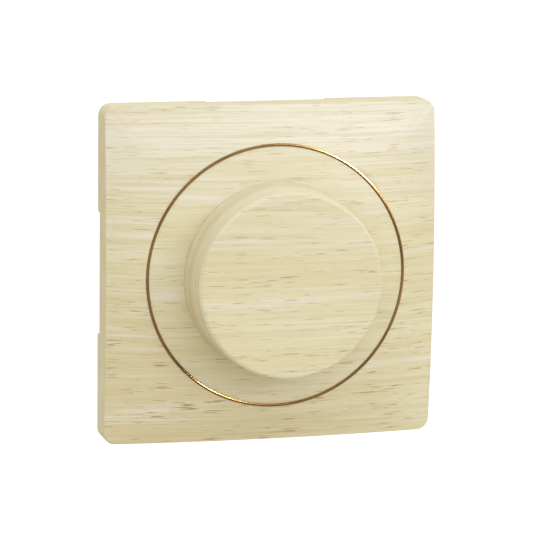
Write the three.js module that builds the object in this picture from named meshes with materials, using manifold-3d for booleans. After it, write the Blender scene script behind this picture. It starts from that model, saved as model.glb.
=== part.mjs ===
// Rotary push dimmer for a round flush wall box: a square cover plate, a copper-coloured trim ring, a centre
// disc and a knob in front, and behind them the steel frame and the dimmer module that sit in the box.
// Millimetres. The origin is where the knob's axis meets the wall: +X right, +Y into the wall, +Z up.
import * as THREE from 'three';
import { mergeVertices } from 'three/addons/utils/BufferGeometryUtils.js';
import { ParametricGeometry } from 'three/addons/geometries/ParametricGeometry.js';
import Module from 'manifold-3d';

const wasm = await Module();
wasm.setup();

// ---------------------------------------------------------------- driving dimensions
const GAP = 0.3; // between two pieces that touch
const FINE = 48; // sides of the large round pieces
const COARSE = 20; // sides of the small ones
const PAST = 1; // how far a cutting shape runs past the face it cuts

const PLATE_HALF = 42.5; // the cover plate is a square of twice this
const PLATE_CORNER = 3.2; // corner radius seen from the front
const PLATE_EDGE_Y = -9.6; // front face at the middle of a side
const PLATE_CORNER_FALL = 2.33; // how much nearer the wall the front face is at the corners
const PLATE_ROUND = 1.0; // rounding between front face and side wall
const PLATE_WALL = 2.0;
const NOTCH_LENGTH = 31; // prising notch in the back edge of each side
const NOTCH_DEPTH = 2.3;
const NOTCH_INTO_WALL = 1.2;
const LEG_X = 18; // the plate's clip legs and the frame's tabs stand in pairs this far off centre

const RING_Y = -13.65; // front plane of the round opening
const RING_R = 32.9; // middle of the trim ring's visible band
const RING_BAND = 0.6; // width of that band

const KNOB_FRONT_Y = -28.4;
const KNOB_RIM_R = 23.3; // flank radius at the front
const KNOB_BASE_R = 24.0; // flank radius at the disc
const KNOB_ROUND = 1.0;
const KNOB_WALL = 2.0;
const KNOB_CROWN = 0.25; // how far the middle of the front face stands forward of its rim
const PRESS_TRAVEL = 1.2;

const FRAME_HALF = 35.5; // mounting frame, 71 mm square
const FRAME_THICK = 1.5;
const WINDOW_HALF = 23; // square window for the module
const BOX_SCREW_SPACING = 60;

const CASE_HALF = 22.5; // dimmer module, 45 mm square
const CASE_WALL = 1.6;
const CASE_FRONT_Y = -5;
const CASE_SPLIT_Y = 18;
const CASE_BACK_Y = 31.5;

const SPINDLE_R = 3.0; // 6 mm spindle
const SPINDLE_FLAT = 1.5; // from the axis to the flat
const BUSH_R = 5.0; // M10 threaded bush
const POT_HALF = 8.5;

const BOARD_Y = 16.6; // front face of the circuit board
const BOARD_THICK = 1.6;
const BOARD_HALF = 20.2;

const TERMINAL_PITCH = 11;
const TERMINAL_COUNT = 3;

const CLAW_PIVOT_X = 25.4;
const CLAW_PIVOT_Y = 3.0;
const CLAW_SCREW_X = 30.0;
const CLAW_WIDTH = 11;

// ---------------------------------------------------------------- materials
function material(color, roughness, metalness = 0) {
  return new THREE.MeshStandardMaterial({ color, roughness, metalness });
}
const wood = () => material(0xe2d9b6, 0.5);
const copper = () => material(0x9a6a3c, 0.2, 1);
const steel = () => material(0xb9bcbf, 0.4, 1);
const brass = () => material(0xc9a552, 0.35, 1);
const tinned = () => material(0xc6c8c8, 0.35, 1);
const aluminium = () => material(0xc3c6ca, 0.45, 1);
const greyPlastic = () => material(0xb9bcbd, 0.55);
const whitePlastic = () => material(0xe9e8e2, 0.5);
const blackPlastic = () => material(0x1d1e20, 0.5);

// ---------------------------------------------------------------- solids
function solid(geometry) {
  const bare = geometry.clone();
  bare.deleteAttribute('normal');
  bare.deleteAttribute('uv');
  const merged = mergeVertices(bare, 1e-3);
  const index = merged.index.array;
  const faces = [];
  for (let i = 0; i < index.length; i += 3) {
    const [a, b, c] = [index[i], index[i + 1], index[i + 2]];
    if (a !== b && b !== c && c !== a) faces.push(a, b, c);
  }
  const vertProperties = new Float32Array(merged.attributes.position.array);
  const build = (list) =>
    new wasm.Manifold(new wasm.Mesh({ numProp: 3, vertProperties, triVerts: new Uint32Array(list) }));
  const made = build(faces);
  return made.volume() >= 0 ? made : build(faces.reverse());
}

function block(x0, x1, y0, y1, z0, z1) {
  const g = new THREE.BoxGeometry(x1 - x0, y1 - y0, z1 - z0);
  return solid(g.translate((x0 + x1) / 2, (y0 + y1) / 2, (z0 + z1) / 2));
}

// A round bar along Y.
function barY(radius, y0, y1, x = 0, z = 0, sides = COARSE) {
  const g = new THREE.CylinderGeometry(radius, radius, y1 - y0, sides);
  return solid(g.translate(x, (y0 + y1) / 2, z));
}

// A round bar along Z.
function barZ(radius, z0, z1, x, y, sides = COARSE) {
  const g = new THREE.CylinderGeometry(radius, radius, z1 - z0, sides);
  return solid(g.rotateX(Math.PI / 2).translate(x, y, (z0 + z1) / 2));
}

// A profile of [radius, y] points turned round the Y axis. It closes on itself.
function turned(points, sides = FINE) {
  const profile = [...points, points[0]].map(([r, y]) => new THREE.Vector2(r, y));
  return solid(new THREE.LatheGeometry(profile, sides));
}

function roundedSquare(half, radius) {
  return roundedRectangle(half, half, radius);
}

function roundedRectangle(halfX, halfZ, radius) {
  const s = new THREE.Shape();
  s.moveTo(-halfX + radius, -halfZ);
  s.lineTo(halfX - radius, -halfZ);
  s.absarc(halfX - radius, -halfZ + radius, radius, -Math.PI / 2, 0);
  s.absarc(halfX - radius, halfZ - radius, radius, 0, Math.PI / 2);
  s.absarc(-halfX + radius, halfZ - radius, radius, Math.PI / 2, Math.PI);
  s.absarc(-halfX + radius, -halfZ + radius, radius, Math.PI, 1.5 * Math.PI);
  return s;
}

// A shape drawn in X and Z, given a thickness from y0 to y1.
function slab(shape, y0, y1) {
  const g = new THREE.ExtrudeGeometry(shape, { depth: y1 - y0, bevelEnabled: false, curveSegments: 2 });
  return solid(g.rotateX(Math.PI / 2).translate(0, y1, 0));
}

// A shape drawn in X and Y, given a width along Z about z = 0.
function plank(shape, width) {
  const g = new THREE.ExtrudeGeometry(shape, { depth: width, bevelEnabled: false });
  return solid(g.translate(0, 0, -width / 2));
}

function polygon(points) {
  const s = new THREE.Shape();
  points.forEach(([x, y], i) => (i ? s.lineTo(x, y) : s.moveTo(x, y)));
  s.closePath();
  return s;
}

const union = (list) => list.reduce((whole, piece) => whole.add(piece));
const cut = (whole, list) => list.reduce((rest, piece) => rest.subtract(piece), whole);

function toGeometry(manifold) {
  const m = manifold.getMesh();
  const g = new THREE.BufferGeometry();
  g.setAttribute('position', new THREE.BufferAttribute(m.vertProperties, 3));
  g.setIndex(new THREE.BufferAttribute(m.triVerts, 1));
  g.computeVertexNormals();
  return g;
}

const dimmer = new THREE.Group();
function add(name, manifold, look) {
  const mesh = new THREE.Mesh(toGeometry(manifold), look());
  mesh.name = name;
  dimmer.add(mesh);
}

// ---------------------------------------------------------------- cover plate
const SIDE_STEPS = 10;
const CORNER_STEPS = 4;
const QUARTER = SIDE_STEPS + CORNER_STEPS;

// Point number `column` of the rounded square that lies `inset` inside the plate's outline, as [x, z].
function outlinePoint(column, inset) {
  const quarter = Math.floor(column / QUARTER) % 4;
  const step = column % QUARTER;
  const half = PLATE_HALF - inset;
  const radius = Math.max(PLATE_CORNER - inset, 0.6);
  const straight = half - radius;
  let x = half;
  let z = -straight + (2 * straight * step) / SIDE_STEPS;
  if (step > SIDE_STEPS) {
    const angle = ((step - SIDE_STEPS) / CORNER_STEPS) * (Math.PI / 2);
    x = straight + radius * Math.cos(angle);
    z = straight + radius * Math.sin(angle);
  }
  const turn = (quarter * Math.PI) / 2;
  return [x * Math.cos(turn) - z * Math.sin(turn), x * Math.sin(turn) + z * Math.cos(turn)];
}

// The front face's edge falls back towards the corners.
function edgeY([x, z]) {
  const along = Math.min(Math.abs(x), Math.abs(z)) / PLATE_HALF;
  return PLATE_EDGE_Y + PLATE_CORNER_FALL * along * along;
}

// The plate is a closed section carried round the opening. Its face runs from the round opening out to the
// square edge, a little convex, and its underside follows it.
function coverPlate() {
  const openingR = RING_R + RING_BAND / 2 + GAP;
  const openingY = RING_Y + 0.15;
  const faceSteps = [0, 0.35, 0.7, 1];
  const convex = 0.15; // how much of the fall comes late, near the edge
  const faceFall = (t) => (1 - convex) * t + convex * t * t;

  function facePoint(column, t, behind) {
    const outer = outlinePoint(column, behind ? PLATE_WALL : PLATE_ROUND);
    const reach = Math.hypot(outer[0], outer[1]);
    const r = openingR + (reach - openingR) * t;
    const innerY = openingY + behind;
    const outerY = edgeY(outer) + behind;
    return [(outer[0] / reach) * r, innerY + (outerY - innerY) * faceFall(t), (outer[1] / reach) * r];
  }

  function sidePoint(column, inset, y) {
    const p = outlinePoint(column, inset);
    return [p[0], y ?? edgeY(p), p[1]];
  }

  const rows = [
    ...faceSteps.map((t) => (column) => facePoint(column, t, 0)),
    (column) => {
      const inset = PLATE_ROUND * (1 - Math.SQRT1_2);
      const p = outlinePoint(column, inset);
      return sidePoint(column, inset, edgeY(p) + inset);
    },
    (column) => {
      const p = outlinePoint(column, 0);
      return sidePoint(column, 0, edgeY(p) + PLATE_ROUND);
    },
    (column) => sidePoint(column, 0, 0),
    (column) => sidePoint(column, PLATE_WALL, 0),
    (column) => facePoint(column, 1, PLATE_WALL),
    (column) => facePoint(column, 0.5, PLATE_WALL),
    (column) => facePoint(column, 0, PLATE_WALL),
  ];
  const columns = 4 * QUARTER;
  const surface = new ParametricGeometry(
    (u, v, target) => {
      const column = Math.round(u * columns) % columns;
      const row = Math.round(v * rows.length) % rows.length;
      target.set(...rows[row](column));
    },
    columns,
    rows.length,
  );
  let plate = solid(surface);

  const notches = [];
  const legs = [];
  const legInner = FRAME_HALF + 1.2;
  const legOuter = legInner + 1.4;
  const notchInner = PLATE_HALF - NOTCH_INTO_WALL;
  for (const turn of [0, 90, 180, 270]) {
    const half = NOTCH_LENGTH / 2;
    const notch = block(-half, half, -NOTCH_DEPTH, PAST, notchInner, PLATE_HALF + PAST);
    notches.push(notch.rotate([0, turn, 0]));
    for (const x of [-LEG_X, LEG_X]) {
      const leg = block(x - 3, x + 3, PLATE_EDGE_Y + 1.2, -0.6, legInner, legOuter);
      legs.push(leg.rotate([0, turn, 0]));
    }
  }
  plate = union([plate, ...legs]);
  return cut(plate, notches);
}

// ---------------------------------------------------------------- trim ring and centre disc
const DISC_R = RING_R - RING_BAND / 2 - GAP;
const WELL_R = KNOB_BASE_R + GAP; // the knob's skirt dips into this well
const WELL_FLOOR_Y = -11.2;
const FLOOR_THICK = 1.5;
const PEG_X = 16; // two pegs behind the disc drop into the module's front
const PEG_R = 1.2;
const DISC_INNER_Y = RING_Y - 1.2; // the disc rises towards the knob
const DISC_EDGE_THICK = 1.4;

function trimRing() {
  const inner = RING_R - RING_BAND / 2;
  const outer = RING_R + RING_BAND / 2;
  const top = RING_Y - 0.2;
  const footTop = RING_Y + DISC_EDGE_THICK + GAP;
  const footBottom = footTop + 0.6;
  return turned([
    [inner, top + 0.12],
    [inner + 0.15, top],
    [outer - 0.15, top],
    [outer, top + 0.12],
    [outer, footBottom],
    [DISC_R - 1.6, footBottom],
    [DISC_R - 1.6, footTop],
    [inner, footTop],
  ]);
}

function centreDisc() {
  const bossR = 9;
  const boreR = BUSH_R + GAP;
  const floorBack = WELL_FLOOR_Y + FLOOR_THICK;
  const rimBack = RING_Y + DISC_EDGE_THICK;
  const crown = (t) => RING_Y + 0.1 + (DISC_INNER_Y - RING_Y) * Math.sin((t * Math.PI) / 2);
  const face = [0, 0.25, 0.5, 0.75, 1].map((t) => [DISC_R + (WELL_R + 0.3 - DISC_R) * t, crown(t)]);
  const disc = turned([
    ...face,
    [WELL_R, DISC_INNER_Y + 0.4],
    [WELL_R, WELL_FLOOR_Y],
    [boreR, WELL_FLOOR_Y],
    [boreR, CASE_FRONT_Y - GAP],
    [bossR, CASE_FRONT_Y - GAP],
    [bossR, floorBack],
    [WELL_R + 1.6, floorBack],
    [WELL_R + 1.6, rimBack],
    [DISC_R, rimBack],
  ]);
  const pegEnd = CASE_FRONT_Y + CASE_WALL;
  const pegs = [-PEG_X, PEG_X].map((x) => barY(PEG_R, floorBack - GAP, pegEnd, x, 0, 12));
  return union([disc, ...pegs]);
}

// ---------------------------------------------------------------- knob and spindle
const SKIRT_BACK_Y = WELL_FLOOR_Y - PRESS_TRAVEL - 0.7;
const HUB_BACK_Y = -17.3;
const BORE_R = SPINDLE_R + GAP;
const SPINDLE_FRONT_Y = -25.2;

// The clearance hole for the flatted spindle, with a slot beside the flat for the clip.
function spindleBore(y0, y1, flat) {
  return cut(barY(BORE_R, y0, y1), [block(-BORE_R - 1, BORE_R + 1, y0 - 1, y1 + 1, flat, BORE_R + 1)]);
}

function knob() {
  const insideR = KNOB_RIM_R - KNOB_WALL;
  const ceiling = KNOB_FRONT_Y + 2.4;
  const rimY = KNOB_FRONT_Y + KNOB_ROUND;
  const rim = [90, 60, 30, 0].map((deg) => {
    const a = THREE.MathUtils.degToRad(deg);
    return [KNOB_RIM_R - KNOB_ROUND * (1 - Math.cos(a)), rimY - KNOB_ROUND * Math.sin(a)];
  });
  const cap = turned([
    [0, KNOB_FRONT_Y - KNOB_CROWN],
    [KNOB_RIM_R * 0.55, KNOB_FRONT_Y - KNOB_CROWN * 0.75],
    ...rim,
    [KNOB_BASE_R, SKIRT_BACK_Y],
    [KNOB_BASE_R - KNOB_WALL, SKIRT_BACK_Y],
    [insideR, ceiling],
    [0, ceiling],
  ]);
  const hub = barY(6.6, ceiling - 0.2, HUB_BACK_Y);
  const ribs = [0, 60, 120].map((deg) =>
    block(-insideR, insideR, ceiling - 0.2, ceiling + 3, -0.6, 0.6).rotate([0, deg, 0]),
  );
  return cut(union([cap, hub, ...ribs]), [spindleBore(ceiling, HUB_BACK_Y + 1, SPINDLE_FLAT + 1.1)]);
}

// A bowed spring-steel strip between the spindle's flat and the knob's hub.
function knobClip() {
  return block(-1.6, 1.6, -24.8, HUB_BACK_Y - 0.4, SPINDLE_FLAT + GAP, SPINDLE_FLAT + GAP + 0.5);
}

const SPINDLE_BACK_Y = 6.9;
function spindle() {
  const bar = barY(SPINDLE_R, SPINDLE_FRONT_Y, SPINDLE_BACK_Y, 0, 0, 24);
  const flat = block(-4, 4, SPINDLE_FRONT_Y - 1, SPINDLE_BACK_Y + 1, SPINDLE_FLAT, 4);
  return cut(bar, [flat]);
}

// ---------------------------------------------------------------- potentiometer
const POT_FRONT_Y = CASE_FRONT_Y + CASE_WALL + GAP;
const POT_PLATE_THICK = 1.5;
const SHELL_Y0 = POT_FRONT_Y + POT_PLATE_THICK + GAP;
const SHELL_Y1 = 5.5;
const TRACK_Y = SHELL_Y1 - 1.2 - GAP;
const ROTOR_R = 6.3;
const BUSH_FRONT_Y = -15.6;

function threadedBush() {
  const plate = slab(roundedSquare(POT_HALF, 1), POT_FRONT_Y, POT_FRONT_Y + POT_PLATE_THICK);
  const tube = barY(BUSH_R, BUSH_FRONT_Y, POT_FRONT_Y + 0.5, 0, 0, 24);
  return cut(union([plate, tube]), [barY(BORE_R, BUSH_FRONT_Y - 1, SHELL_Y0 + 1)]);
}

// The shell's stop block faces the rotor's lug: between them they allow 140 degrees each way.
function potentiometerShell() {
  const outside = slab(roundedSquare(POT_HALF, 1), SHELL_Y0, SHELL_Y1);
  const cavity = barY(7.6, SHELL_Y0 - 1, SHELL_Y1 - 1.2, 0, 0, 32);
  const bore = barY(BORE_R, SHELL_Y0, SHELL_Y1 + 1);
  const stop = block(-3.2, 3.2, SHELL_Y0 + 0.2, TRACK_Y - 1.4, -8, -6.75);
  return union([cut(outside, [cavity, bore]), stop]);
}

function resistanceTrack() {
  return turned(
    [
      [3.9, TRACK_Y - 0.7],
      [6.6, TRACK_Y - 0.7],
      [6.6, TRACK_Y],
      [3.9, TRACK_Y],
    ],
    32,
  );
}

function wiperRotor() {
  const y0 = SHELL_Y0 + 0.3;
  const y1 = TRACK_Y - 1.9;
  const lug = block(-0.9, 0.9, y0 + 0.2, y1, ROTOR_R - 0.8, ROTOR_R + 1.0);
  const bore = spindleBore(y0 - PAST, y1 + PAST, SPINDLE_FLAT + GAP);
  return union([barY(ROTOR_R, y0, y1, 0, 0, 32), lug]).subtract(bore);
}

function wiperBrush() {
  const y0 = TRACK_Y - 1.9 + GAP;
  return block(-1.4, 1.4, y0, y0 + 0.6, 4.1, 6.2);
}

// ---------------------------------------------------------------- push switch
const SWITCH_Y0 = SHELL_Y1 + GAP;
const SWITCH_Y1 = 15.6;
const COLLAR_Y = 9.0;

function switchCase() {
  const outside = slab(roundedSquare(POT_HALF, 1), SWITCH_Y0, SWITCH_Y1);
  const cavity = block(-7, 7, SWITCH_Y0 - 1, SWITCH_Y1 - 1.3, -5.6, 5.6);
  return cut(outside, [cavity]);
}

function switchPlunger() {
  const nose = barY(2.4, SPINDLE_BACK_Y + GAP, COLLAR_Y);
  const collar = barY(4.4, COLLAR_Y - 0.2, COLLAR_Y + 1.4);
  const pilot = barY(1.3, COLLAR_Y + 1, COLLAR_Y + 3, 0, 0, 12);
  return union([nose, collar, pilot]);
}

// A brass strip carried in front of the collar; it meets the two fixed contacts at the end of the travel.
function contactBridge() {
  const y0 = COLLAR_Y - 1.4;
  const y1 = COLLAR_Y - 0.8;
  const strip = block(-6.2, 6.2, y0, y1, -1.6, 1.6);
  const plungerHole = barY(2.4 + GAP, y0 - PAST, y1 + PAST);
  return union([strip, barY(4, y0, y1)]).subtract(plungerHole);
}

function fixedContact(side) {
  const pad = block(4.7, 6.7, COLLAR_Y + 0.7, COLLAR_Y + 1.3, -1.8, 1.8);
  const post = block(5.6, 6.7, COLLAR_Y + 1.0, SWITCH_Y1 - 1.6, -1.0, 1.0);
  const blade = union([pad, post]);
  return side > 0 ? blade : blade.mirror([1, 0, 0]);
}

class Helix extends THREE.Curve {
  constructor(radius, y0, y1, turns) {
    super();
    Object.assign(this, { radius, y0, y1, turns });
  }

  getPoint(t, target = new THREE.Vector3()) {
    const a = 2 * Math.PI * this.turns * t;
    const y = this.y0 + (this.y1 - this.y0) * t;
    return target.set(this.radius * Math.cos(a), y, this.radius * Math.sin(a));
  }
}

function returnSpring() {
  const turns = 4;
  const path = new Helix(2.6, COLLAR_Y + 2.0, SWITCH_Y1 - 1.9, turns);
  const wire = new THREE.Shape().absarc(0, 0, 0.25, 0, 2 * Math.PI);
  const g = new THREE.ExtrudeGeometry(wire, {
    steps: turns * 12,
    bevelEnabled: false,
    extrudePath: path,
    curveSegments: 3,
  });
  return solid(g);
}

// ---------------------------------------------------------------- nut and washer on the bush
const WASHER_Y1 = WELL_FLOOR_Y - GAP;
const WASHER_THICK = 0.7;
function bushWasher() {
  return cut(barY(8.4, WASHER_Y1 - WASHER_THICK, WASHER_Y1, 0, 0, 32), [
    barY(BUSH_R + GAP, WASHER_Y1 - 2, WASHER_Y1 + 1, 0, 0, 24),
  ]);
}

function bushNut() {
  const back = WASHER_Y1 - WASHER_THICK - GAP;
  const nut = barY(8.1, back - 2.5, back, 0, 0, 6);
  return cut(nut, [barY(BUSH_R + GAP, back - 4, back + 1, 0, 0, 24)]);
}

// ---------------------------------------------------------------- mounting frame
// A slot along an arc about the knob's axis, so that the frame can be turned level before it is tightened.
function arcSlot(radius, width, halfAngle, centreAngle) {
  const s = new THREE.Shape();
  const a0 = centreAngle - halfAngle;
  const a1 = centreAngle + halfAngle;
  const end = (a) => [radius * Math.cos(a), radius * Math.sin(a)];
  s.absarc(0, 0, radius + width / 2, a0, a1);
  s.absarc(...end(a1), width / 2, a1, a1 + Math.PI);
  s.absarc(0, 0, radius - width / 2, a1, a0, true);
  s.absarc(...end(a0), width / 2, a0 + Math.PI, a0 + 2 * Math.PI);
  return slab(s, -FRAME_THICK - PAST, PAST);
}

const RIVET_X = 24.9;
const RIVET_Z = 16;
const RIVET_R = 1.2;
const LUG_THICK = 1.2;
const PIN_R = 0.8; // claw pivot pin
const rivetSpots = [
  [-RIVET_X, -RIVET_Z],
  [RIVET_X, -RIVET_Z],
  [-RIVET_X, RIVET_Z],
  [RIVET_X, RIVET_Z],
];

function supportFrame() {
  const front = -FRAME_THICK - PAST;
  const through = (radius, x, z, sides) => barY(radius, front, PAST, x, z, sides);
  const sheet = slab(roundedSquare(FRAME_HALF, 3), -FRAME_THICK, 0);
  const window = slab(roundedSquare(WINDOW_HALF, 1), front, PAST);
  const slotHalf = THREE.MathUtils.degToRad(9);
  const screwR = BOX_SCREW_SPACING / 2;
  const slots = [0.5, 1.5].map((half) => arcSlot(screwR, 3.8, slotHalf, half * Math.PI));
  const keyholes = [1, -1].map((s) => through(3.6, 4.6 * s, screwR * s, 16));
  const clawHoles = [1, -1].map((s) => through(1.8, CLAW_SCREW_X * s, 0, COARSE));
  const rivetHoles = rivetSpots.map(([x, z]) => through(RIVET_R + GAP, x, z, 12));
  const cornerX = 29;
  const corners = rivetSpots.map(([x, z]) => [cornerX * Math.sign(x), cornerX * Math.sign(z)]);
  const cornerHoles = corners.map(([x, z]) => through(2.2, x, z, 12));

  // Lugs bent back from the sheet carry the claws' pins; tabs bent forward hold the cover plate's legs.
  const lugs = [];
  for (const side of [1, -1]) {
    for (const end of [1, -1]) {
      const z0 = CLAW_WIDTH / 2 + GAP;
      const x0 = CLAW_PIVOT_X - 1.9;
      const lug = block(x0, CLAW_PIVOT_X + 1.9, -0.3, CLAW_PIVOT_Y + 2, z0, z0 + LUG_THICK);
      const pinHole = barZ(PIN_R + GAP, z0 - PAST, z0 + LUG_THICK + PAST, CLAW_PIVOT_X, CLAW_PIVOT_Y, 12);
      let bent = lug.subtract(pinHole);
      if (end < 0) bent = bent.mirror([0, 0, 1]);
      if (side < 0) bent = bent.mirror([1, 0, 0]);
      lugs.push(bent);
    }
  }
  const tabs = [];
  for (const turn of [0, 90, 180, 270]) {
    for (const x of [-LEG_X, LEG_X]) {
      const tab = block(x - 2.5, x + 2.5, -5.5, -FRAME_THICK + 0.2, FRAME_HALF - 1.2, FRAME_HALF);
      tabs.push(tab.rotate([0, turn, 0]));
    }
  }
  const holes = [window, ...slots, ...keyholes, ...clawHoles, ...rivetHoles, ...cornerHoles];
  return union([cut(sheet, holes), ...lugs, ...tabs]);
}

function rivet([x, z]) {
  const flangeFront = -FRAME_THICK - GAP - CASE_FLANGE_THICK;
  const head = barY(2.1, flangeFront - GAP - 0.8, flangeFront - GAP, x, z, 12);
  const shank = barY(RIVET_R, flangeFront - GAP - 0.1, 0.6, x, z, 12);
  const tail = barY(1.9, GAP, 0.9, x, z, 12);
  return union([head, shank, tail]);
}

// ---------------------------------------------------------------- module case
const CASE_FLANGE_THICK = 1.3;
const CASE_FLANGE_HALF = 27.2;
const LATCH_X = 11; // four latches hold the rear cover in windows in the case

function moduleCase() {
  const outside = slab(roundedSquare(CASE_HALF, 2), CASE_FRONT_Y, CASE_SPLIT_Y);
  const inside = slab(roundedSquare(CASE_HALF - CASE_WALL, 1), CASE_FRONT_Y + CASE_WALL, CASE_SPLIT_Y + 1);
  const flangeBack = -FRAME_THICK - GAP;
  const flangeShape = roundedRectangle(CASE_FLANGE_HALF, 20, 1.5);
  const flange = slab(flangeShape, flangeBack - CASE_FLANGE_THICK, flangeBack);
  const bushHole = barY(BUSH_R + GAP, CASE_FRONT_Y - 1, 0, 0, 0, 24);
  const pegHoles = [-PEG_X, PEG_X].map((x) => barY(PEG_R + GAP, CASE_FRONT_Y - PAST, 0, x, 0, 12));
  const rivetHoles = rivetSpots.map(([x, z]) => barY(RIVET_R + GAP, flangeBack - 3, 0, x, z, 12));
  const windowY0 = CASE_SPLIT_Y - 5.2;
  const windowY1 = CASE_SPLIT_Y - 2.6;
  const latchWindows = [-LATCH_X, LATCH_X].flatMap((x) => {
    const upper = block(x - 2.6, x + 2.6, windowY0, windowY1, CASE_HALF - 3, CASE_HALF + PAST);
    return [upper, upper.mirror([0, 0, 1])];
  });
  const clawWay = block(26.6, 34, -6, 0, -3.6, 3.6);
  const clawWays = [clawWay, clawWay.mirror([1, 0, 0])];
  const holes = [inside, bushHole, ...pegHoles, ...rivetHoles, ...latchWindows, ...clawWays];
  return cut(union([outside, flange]), holes);
}

// ---------------------------------------------------------------- rear cover
const BLOCK_HALF_X = 18.6;
const BLOCK_Z0 = -19.4;
const BLOCK_Z1 = -7.6;

function rearCover() {
  const y0 = CASE_SPLIT_Y + GAP;
  const outside = slab(roundedSquare(CASE_HALF, 2), y0, CASE_BACK_Y);
  const inside = slab(roundedSquare(CASE_HALF - CASE_WALL, 1), y0 - 1, CASE_BACK_Y - CASE_WALL);
  const blockWindow = block(
    -BLOCK_HALF_X - GAP,
    BLOCK_HALF_X + GAP,
    CASE_BACK_Y - CASE_WALL - 1,
    CASE_BACK_Y + 1,
    BLOCK_Z0 - GAP,
    BLOCK_Z1 + GAP,
  );
  const vents = [-12, -8, -4, 0, 4, 8, 12].map((x) =>
    block(x - 0.9, x + 0.9, CASE_BACK_Y - 3, CASE_BACK_Y + PAST, 0, 15),
  );
  const sideVents = [2, 6, 10, 14].flatMap((z) => {
    const right = block(CASE_HALF - 3, CASE_HALF + PAST, 23, 28.6, z - 0.8, z + 0.8);
    return [right, right.mirror([1, 0, 0])];
  });
  const latches = [-LATCH_X, LATCH_X].flatMap((x) => [1, -1].map((s) => coverLatch(x, s)));
  return union([cut(outside, [inside, blockWindow, ...vents, ...sideVents]), ...latches]);
}

// A springy tongue that reaches into the case and hooks into its window.
function coverLatch(x, side) {
  const reach = CASE_HALF - CASE_WALL - GAP;
  const tongue = block(x - 2.2, x + 2.2, CASE_SPLIT_Y - 5.6, CASE_SPLIT_Y + 3, reach - 1, reach);
  const root = block(x - 2.2, x + 2.2, CASE_SPLIT_Y + 1, CASE_SPLIT_Y + 3, reach - 1, reach + 0.9);
  const hook = block(x - 2.2, x + 2.2, CASE_SPLIT_Y - 4.9, CASE_SPLIT_Y - 2.9, reach - 0.5, reach + 1.3);
  const latch = union([tongue, root, hook]);
  return side > 0 ? latch : latch.mirror([0, 0, 1]);
}

// ---------------------------------------------------------------- circuit board and what it carries
const BOARD_BACK_Y = BOARD_Y + BOARD_THICK;

function circuitBoard() {
  const board = slab(roundedSquare(BOARD_HALF, 1), BOARD_Y, BOARD_BACK_Y);
  const latchCuts = [-LATCH_X, LATCH_X].flatMap((x) => {
    const upper = block(x - 3, x + 3, BOARD_Y - PAST, BOARD_BACK_Y + PAST, BOARD_HALF - 1, BOARD_HALF + PAST);
    return [upper, upper.mirror([0, 0, 1])];
  });
  return cut(board, latchCuts);
}

function chokeCoil() {
  const g = new THREE.TorusGeometry(4.6, 2.1, 10, 24).rotateX(Math.PI / 2);
  return solid(g.translate(-13, BOARD_BACK_Y + GAP + 2.1, 0.6));
}

function filmCapacitor() {
  return block(3, 15.5, BOARD_BACK_Y + GAP, BOARD_BACK_Y + 7.5, -5.6, 0.4);
}

function electrolyticCapacitor() {
  return barY(3.1, BOARD_BACK_Y + GAP, BOARD_BACK_Y + 8.5, -2.6, -2.2);
}

function controlChip() {
  return block(-4.5, 0.5, BOARD_Y - GAP - 1.5, BOARD_Y - GAP, 11, 15.5);
}

const SINK_Z = 17.6;
function heatSink() {
  const y1 = 29.2;
  const base = block(-15, 15, BOARD_BACK_Y + GAP, y1, SINK_Z, SINK_Z + 1.6);
  const fins = [-14, -9.5, 9.5, 14].map((x) =>
    block(x - 0.6, x + 0.6, BOARD_BACK_Y + 5, y1, SINK_Z - 5, SINK_Z + 0.3),
  );
  return union([base, ...fins]);
}

function powerTransistor(x) {
  const back = SINK_Z - GAP;
  const body = block(x - 3.4, x + 3.4, BOARD_BACK_Y + 2.2, BOARD_BACK_Y + 9.4, back - 3.2, back);
  const leads = [-2, 0, 2].map((dx) =>
    block(x + dx - 0.35, x + dx + 0.35, BOARD_BACK_Y + GAP, BOARD_BACK_Y + 2.6, back - 1.9, back - 1.3),
  );
  return union([body, ...leads]);
}

const FUSE_X = 0.5;
const FUSE_Z = 8.3;
const FUSE_Y = BOARD_BACK_Y + 3.6;
const FUSE_R = 2.1;
function fuseLink() {
  const g = new THREE.CylinderGeometry(FUSE_R, FUSE_R, 15, 16).rotateZ(Math.PI / 2);
  return solid(g.translate(FUSE_X, FUSE_Y, FUSE_Z));
}

// A sprung U that grips one end of the fuse.
function fuseClip(side) {
  const x0 = FUSE_X + side * 6 - 1.6;
  const x1 = x0 + 3.2;
  const y0 = BOARD_BACK_Y + GAP;
  const inner = FUSE_R + GAP;
  const outer = inner + 0.5;
  const outside = block(x0, x1, y0, FUSE_Y + 1.6, FUSE_Z - outer, FUSE_Z + outer);
  return outside.subtract(block(x0 - PAST, x1 + PAST, y0 + 0.5, FUSE_Y + 3, FUSE_Z - inner, FUSE_Z + inner));
}

// ---------------------------------------------------------------- terminals
const terminalX = (i) => (i - (TERMINAL_COUNT - 1) / 2) * TERMINAL_PITCH;
const BLOCK_BACK_Y = 33.2;
const ENTRY_Z = -10.6;
const SCREW_Z = -15.8;
const CHAMBER_Y0 = 21;
const CHAMBER_Y1 = 30.2;

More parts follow.
